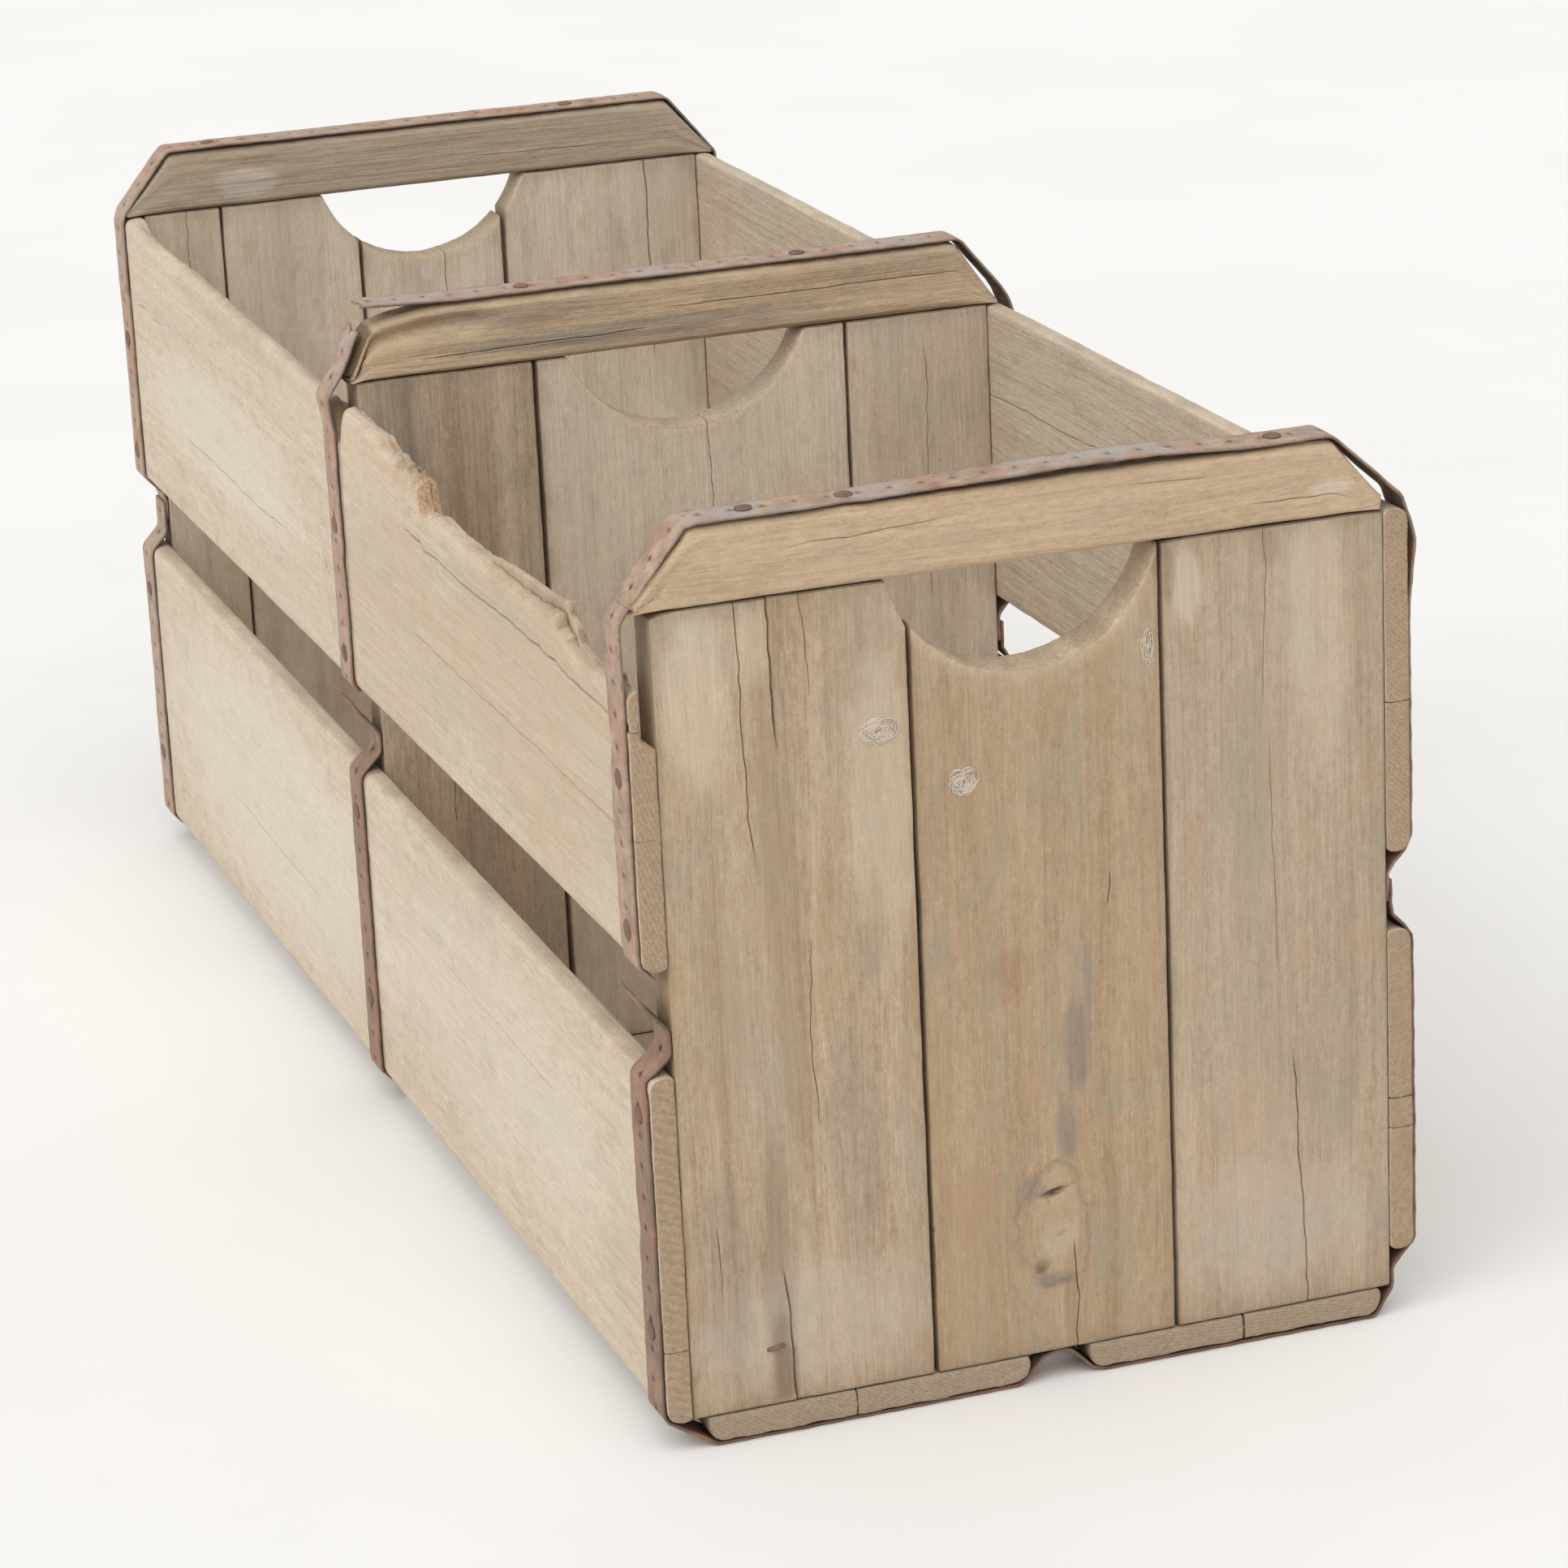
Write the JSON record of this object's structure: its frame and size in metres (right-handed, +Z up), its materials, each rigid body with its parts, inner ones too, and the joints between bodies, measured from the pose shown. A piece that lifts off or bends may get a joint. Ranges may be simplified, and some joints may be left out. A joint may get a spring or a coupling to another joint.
{
  "type": "milk bottle crate",
  "caption": "Long open wooden bottle crate of worn boards, with two compartments, scooped hand holes under chamfered handle rails, and rusty punched iron straps nailed round its panels.",
  "frame": {"origin": "middle of the surface that the crate stands on, under the middle of its box", "axes": "+Y along the crate, from the near panel to the far panel; +X to the right seen from the near end; +Z up"},
  "size_m": [0.3297, 0.852, 0.3748],
  "materials": {
    "panel_wood": "bare weathered softwood, grey-brown, with brown patches and open grain",
    "rail_wood": "bare hand-worn wood, warm tan to grey",
    "board_wood": "bare weathered softwood, pale cream-beige",
    "strap_iron": "thin punched iron strap, rusted pink-brown over blue-grey",
    "nail_iron": "rusted iron nails"
  },
  "bodies": {
    "root": {"near_board_left": "panel_wood", "near_board_centre": "panel_wood", "near_board_right": "panel_wood", "middle_board_left": "panel_wood", "middle_board_centre": "panel_wood", "middle_board_right": "panel_wood", "far_board_outer_left": "panel_wood", "far_board_left": "panel_wood", "far_board_centre": "panel_wood", "far_board_right": "panel_wood", "near_handle_rail": "rail_wood", "middle_handle_rail": "rail_wood", "far_handle_rail": "rail_wood", "side_board_upper_left": "board_wood", "side_board_upper_right": "board_wood", "side_board_lower_left": "board_wood", "side_board_lower_right": "board_wood", "floor_board_left": "board_wood", "floor_board_right": "board_wood", "near_strap_upper": "strap_iron", "near_strap_lower": "strap_iron", "middle_strap_upper": "strap_iron", "middle_strap_left": "strap_iron", "middle_strap_lower": "strap_iron", "far_strap_upper": "strap_iron", "far_strap_lower": "strap_iron", "near_strap_nails": "nail_iron", "middle_strap_nails": "nail_iron", "far_strap_nails": "nail_iron", "near_rail_nails": "nail_iron", "middle_rail_nails": "nail_iron", "far_rail_nails": "nail_iron", "bent_nail": "nail_iron"}
  },
  "joints": []
}
